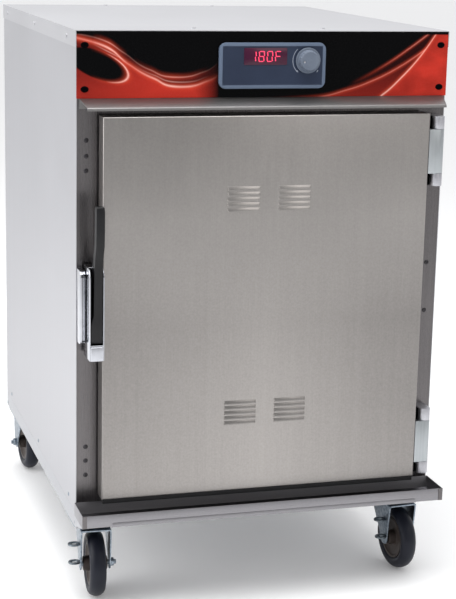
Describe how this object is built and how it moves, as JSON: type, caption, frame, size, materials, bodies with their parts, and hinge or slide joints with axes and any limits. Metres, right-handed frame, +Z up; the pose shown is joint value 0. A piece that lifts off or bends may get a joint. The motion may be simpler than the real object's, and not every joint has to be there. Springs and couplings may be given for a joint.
{
  "type": "food holding cabinet",
  "caption": "Insulated hot holding cabinet on four swivel casters, with an overlay door and edge latch, pan racks, blower, control fascia, drip hood and drip trough.",
  "frame": {"origin": "on the floor, under the middle of the overall box", "axes": "+Z up; the front faces -Y; the latch side is -X and the hinge side +X"},
  "size_m": [0.7204, 0.9548, 1.0788],
  "materials": {
    "brushed_steel": "brushed, fine vertical grain",
    "side_steel": "brushed, pale and even",
    "liner_steel": "mill finish",
    "rail_steel": "dull",
    "fascia_print": "glossy printed overlay, red curves on black",
    "module_plastic": "fine texture, dark blue grey",
    "window_plastic": "clear dark red",
    "knob_plastic": "fine texture",
    "chrome": "polished",
    "black_grip": "moulded, satin",
    "gasket_rubber": "soft black",
    "insulation_wool": "fibrous",
    "heater_alloy": "oxidised",
    "fan_aluminium": "plain",
    "motor_paint": "satin black",
    "zinc": "bright zinc plate",
    "wheel_tread": "smooth dark tread"
  },
  "bodies": {
    "cabinet": {"air_baffle": "liner_steel", "base_pan": "rail_steel", "base_rail_front": "rail_steel", "base_rail_left": "rail_steel", "base_rail_rear": "rail_steel", "base_rail_right": "rail_steel", "blower_motor": "motor_paint", "caster_plate_front_left": "zinc", "caster_plate_front_right": "zinc", "caster_plate_rear_left": "zinc", "caster_plate_rear_right": "zinc", "control_deck": "rail_steel", "control_module": "module_plastic", "display_window": "window_plastic", "drip_hood": "brushed_steel", "drip_trough": "brushed_steel", "fascia_panel": "fascia_print", "header_rail": "brushed_steel", "heater_element": "heater_alloy", "hinge_bracket_lower": "chrome", "hinge_bracket_upper": "chrome", "insulation_bottom": "insulation_wool", "insulation_shell": "insulation_wool", "latch_strike": "chrome", "liner_back": "liner_steel", "liner_bottom": "liner_steel", "liner_left": "liner_steel", "liner_right": "liner_steel", "liner_top": "liner_steel", "outer_back_panel": "side_steel", "outer_panel_left": "side_steel", "outer_panel_right": "side_steel", "pan_rack_left": "liner_steel", "pan_rack_right": "liner_steel", "power_inlet": "module_plastic", "sill_rail": "brushed_steel", "stile_left": "brushed_steel", "stile_right": "brushed_steel", "temperature_probe": "liner_steel", "top_cover": "side_steel"},
    "door": {"door_skin": "brushed_steel", "door_inner_panel": "liner_steel", "door_insulation": "insulation_wool", "door_gasket": "gasket_rubber", "hinge_leaf_upper": "chrome", "hinge_leaf_lower": "chrome", "latch_body": "chrome"},
    "latch_lever": {"latch_handle": "black_grip"},
    "knob": {"control_knob": "knob_plastic"},
    "fan": {"fan_wheel": "fan_aluminium"},
    "fork_front_left": {"caster_fork_front_left": "zinc"},
    "wheel_front_left": {"caster_wheel_front_left": "wheel_tread"},
    "brake_front_left": {"caster_brake_front_left": "zinc"},
    "fork_front_right": {"caster_fork_front_right": "zinc"},
    "wheel_front_right": {"caster_wheel_front_right": "wheel_tread"},
    "brake_front_right": {"caster_brake_front_right": "zinc"},
    "fork_rear_left": {"caster_fork_rear_left": "zinc"},
    "wheel_rear_left": {"caster_wheel_rear_left": "wheel_tread"},
    "fork_rear_right": {"caster_fork_rear_right": "zinc"},
    "wheel_rear_right": {"caster_wheel_rear_right": "wheel_tread"}
  },
  "joints": [
    {"name": "door_swing", "type": "hinge", "parent": "cabinet", "child": "door", "pos_m": [0.328, -0.43005, 0.5736], "axis": [0, 0, 1], "range_deg": [0, 180]},
    {"name": "latch_pull", "type": "hinge", "parent": "door", "child": "latch_lever", "pos_m": [-0.32855, -0.44885, 0.5312], "axis": [1, 0, 0], "range_deg": [0, 25], "stiffness_Nm_per_rad": 1, "springref_deg": -20.05},
    {"name": "knob_turn", "type": "hinge", "parent": "cabinet", "child": "knob", "pos_m": [0.0744, -0.40455, 1.0242], "axis": [0, -1, 0], "range_deg": [-150, 150]},
    {"name": "fan_spin", "type": "hinge", "parent": "cabinet", "child": "fan", "pos_m": [0, 0.00575, 0.9126], "axis": [0, 0, 1], "continuous": true},
    {"name": "swivel_front_left", "type": "hinge", "parent": "cabinet", "child": "fork_front_left", "pos_m": [-0.3085, -0.32825, 0.1476], "axis": [0, 0, 1], "continuous": true},
    {"name": "roll_front_left", "type": "hinge", "parent": "fork_front_left", "child": "wheel_front_left", "pos_m": [-0.31087, -0.36217, 0.0635], "axis": [0.9976, -0.0698, 0], "continuous": true},
    {"name": "brake_press_front_left", "type": "hinge", "parent": "fork_front_left", "child": "brake_front_left", "pos_m": [-0.31087, -0.36217, 0.0635], "axis": [0.9976, -0.0698, 0], "range_deg": [0, 25]},
    {"name": "swivel_front_right", "type": "hinge", "parent": "cabinet", "child": "fork_front_right", "pos_m": [0.3085, -0.32825, 0.1476], "axis": [0, 0, 1], "continuous": true},
    {"name": "roll_front_right", "type": "hinge", "parent": "fork_front_right", "child": "wheel_front_right", "pos_m": [0.31146, -0.36212, 0.0635], "axis": [0.9962, 0.0872, 0], "continuous": true},
    {"name": "brake_press_front_right", "type": "hinge", "parent": "fork_front_right", "child": "brake_front_right", "pos_m": [0.31146, -0.36212, 0.0635], "axis": [0.9962, 0.0872, 0], "range_deg": [0, 25]},
    {"name": "swivel_rear_left", "type": "hinge", "parent": "cabinet", "child": "fork_rear_left", "pos_m": [-0.3085, 0.37975, 0.1476], "axis": [0, 0, 1], "continuous": true},
    {"name": "roll_rear_left", "type": "hinge", "parent": "fork_rear_left", "child": "wheel_rear_left", "pos_m": [-0.31028, 0.4137, 0.0635], "axis": [-0.9986, -0.0523, 0], "continuous": true},
    {"name": "swivel_rear_right", "type": "hinge", "parent": "cabinet", "child": "fork_rear_right", "pos_m": [0.3085, 0.37975, 0.1476], "axis": [0, 0, 1], "continuous": true},
    {"name": "roll_rear_right", "type": "hinge", "parent": "fork_rear_right", "child": "wheel_rear_right", "pos_m": [0.31205, 0.41356, 0.0635], "axis": [-0.9945, 0.1045, 0], "continuous": true}
  ]
}
